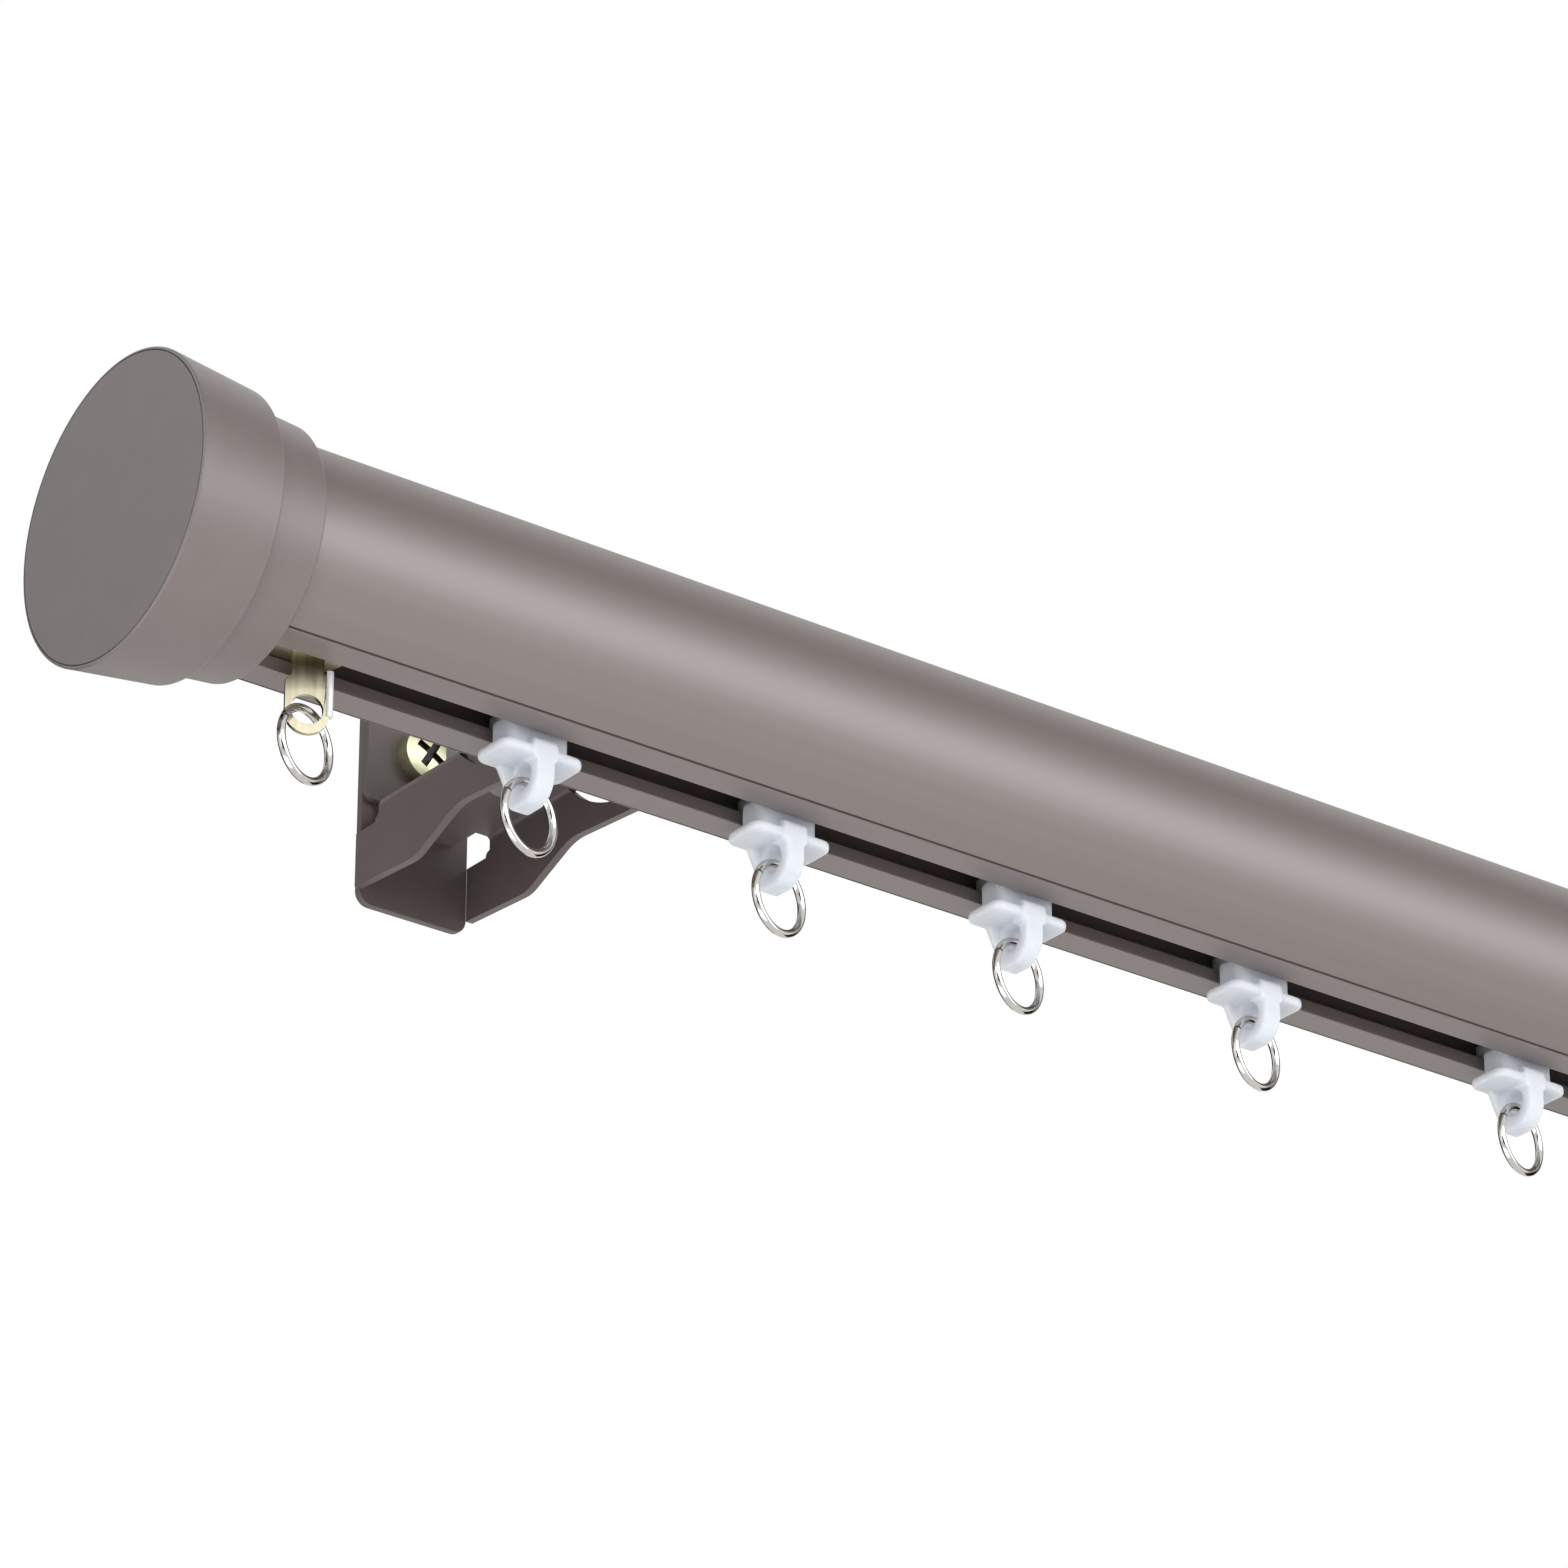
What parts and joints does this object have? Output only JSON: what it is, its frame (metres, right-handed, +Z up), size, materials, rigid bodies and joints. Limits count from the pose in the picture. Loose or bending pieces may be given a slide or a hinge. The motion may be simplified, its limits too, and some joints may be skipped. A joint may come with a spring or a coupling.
{
  "type": "curtain track",
  "caption": "Round wall hung curtain rail with end caps, runners and hook rings that slide in a slot in its underside.",
  "frame": {"origin": "centre of the four wall screws, on the face of the wall", "axes": "+X along the rail, -Y out from the wall towards the room, +Y into the wall along the screws, +Z up"},
  "size_m": [0.6, 0.0725, 0.0526],
  "materials": {
    "rail_coat": "satin taupe metallic lacquer on extruded aluminium",
    "cap_coat": "satin taupe metallic lacquer",
    "bracket_coat": "satin dark taupe lacquer on folded steel",
    "clip_metal": "zinc plated steel",
    "screw_zinc": "yellow zinc plated steel",
    "eye_metal": "nickel plated strip",
    "ring_nickel": "bright nickel plate",
    "runner_plastic": "translucent white moulded plastic"
  },
  "bodies": {
    "track": {"rail": "rail_coat", "end_cap_left": "cap_coat", "end_eye_left": "eye_metal", "wall_plate_left": "bracket_coat", "bracket_left": "bracket_coat", "rail_clip_left": "clip_metal", "clip_bolt_left": "clip_metal", "wall_screws_left": "screw_zinc", "end_cap_right": "cap_coat", "end_eye_right": "eye_metal", "wall_plate_right": "bracket_coat", "bracket_right": "bracket_coat", "rail_clip_right": "clip_metal", "clip_bolt_right": "clip_metal", "wall_screws_right": "screw_zinc"},
    "end_ring_left": {"end_ring_left": "ring_nickel"},
    "end_ring_right": {"end_ring_right": "ring_nickel"},
    "runner_1": {"runner_1": "runner_plastic"},
    "runner_ring_1": {"runner_ring_1": "ring_nickel"},
    "runner_2": {"runner_2": "runner_plastic"},
    "runner_ring_2": {"runner_ring_2": "ring_nickel"},
    "runner_3": {"runner_3": "runner_plastic"},
    "runner_ring_3": {"runner_ring_3": "ring_nickel"},
    "runner_4": {"runner_4": "runner_plastic"},
    "runner_ring_4": {"runner_ring_4": "ring_nickel"},
    "runner_5": {"runner_5": "runner_plastic"},
    "runner_ring_5": {"runner_ring_5": "ring_nickel"},
    "runner_6": {"runner_6": "runner_plastic"},
    "runner_ring_6": {"runner_ring_6": "ring_nickel"},
    "runner_7": {"runner_7": "runner_plastic"},
    "runner_ring_7": {"runner_ring_7": "ring_nickel"},
    "runner_8": {"runner_8": "runner_plastic"},
    "runner_ring_8": {"runner_ring_8": "ring_nickel"}
  },
  "joints": [
    {"name": "end_ring_left_swing", "type": "hinge", "parent": "track", "child": "end_ring_left", "pos_m": [-0.2731, -0.044, -0.0304], "axis": [0.9511, 0.309, 0], "range_deg": [-40, 40]},
    {"name": "end_ring_right_swing", "type": "hinge", "parent": "track", "child": "end_ring_right", "pos_m": [0.2731, -0.044, -0.0304], "axis": [0.9511, -0.309, 0], "range_deg": [-40, 40]},
    {"name": "runner_1_slide", "type": "slide", "parent": "track", "child": "runner_1", "axis": [1, 0, 0], "range_m": [-0.0195, 0.012]},
    {"name": "runner_ring_1_swing", "type": "hinge", "parent": "runner_1", "child": "runner_ring_1", "pos_m": [-0.242, -0.044, -0.0304], "axis": [0.9703, 0.2419, 0], "range_deg": [-60, 60]},
    {"name": "runner_2_slide", "type": "slide", "parent": "track", "child": "runner_2", "axis": [1, 0, 0], "range_m": [-0.012, 0.012]},
    {"name": "runner_ring_2_swing", "type": "hinge", "parent": "runner_2", "child": "runner_ring_2", "pos_m": [-0.2056, -0.044, -0.0304], "axis": [0.9703, 0.2419, 0], "range_deg": [-60, 60]},
    {"name": "runner_3_slide", "type": "slide", "parent": "track", "child": "runner_3", "axis": [1, 0, 0], "range_m": [-0.012, 0.0128]},
    {"name": "runner_ring_3_swing", "type": "hinge", "parent": "runner_3", "child": "runner_ring_3", "pos_m": [-0.1691, -0.044, -0.0304], "axis": [0.9703, 0.2419, 0], "range_deg": [-60, 60]},
    {"name": "runner_4_slide", "type": "slide", "parent": "track", "child": "runner_4", "axis": [1, 0, 0], "range_m": [-0.0128, 0.016]},
    {"name": "runner_ring_4_swing", "type": "hinge", "parent": "runner_4", "child": "runner_ring_4", "pos_m": [-0.1311, -0.044, -0.0304], "axis": [0.9703, 0.2419, 0], "range_deg": [-60, 60]},
    {"name": "runner_5_slide", "type": "slide", "parent": "track", "child": "runner_5", "axis": [1, 0, 0], "range_m": [-0.016, 0.1216]},
    {"name": "runner_ring_5_swing", "type": "hinge", "parent": "runner_5", "child": "runner_ring_5", "pos_m": [-0.0866, -0.044, -0.0304], "axis": [0.9703, 0.2419, 0], "range_deg": [-60, 60]},
    {"name": "runner_6_slide", "type": "slide", "parent": "track", "child": "runner_6", "axis": [1, 0, 0], "range_m": [-0.1216, 0.012]},
    {"name": "runner_ring_6_swing", "type": "hinge", "parent": "runner_6", "child": "runner_ring_6", "pos_m": [0.1691, -0.044, -0.0304], "axis": [0.9703, 0.2419, 0], "range_deg": [-60, 60]},
    {"name": "runner_7_slide", "type": "slide", "parent": "track", "child": "runner_7", "axis": [1, 0, 0], "range_m": [-0.012, 0.0119]},
    {"name": "runner_ring_7_swing", "type": "hinge", "parent": "runner_7", "child": "runner_ring_7", "pos_m": [0.2056, -0.044, -0.0304], "axis": [0.9703, 0.2419, 0], "range_deg": [-60, 60]},
    {"name": "runner_8_slide", "type": "slide", "parent": "track", "child": "runner_8", "axis": [1, 0, 0], "range_m": [-0.0119, 0.0195]},
    {"name": "runner_ring_8_swing", "type": "hinge", "parent": "runner_8", "child": "runner_ring_8", "pos_m": [0.242, -0.044, -0.0304], "axis": [0.9703, 0.2419, 0], "range_deg": [-60, 60]}
  ]
}
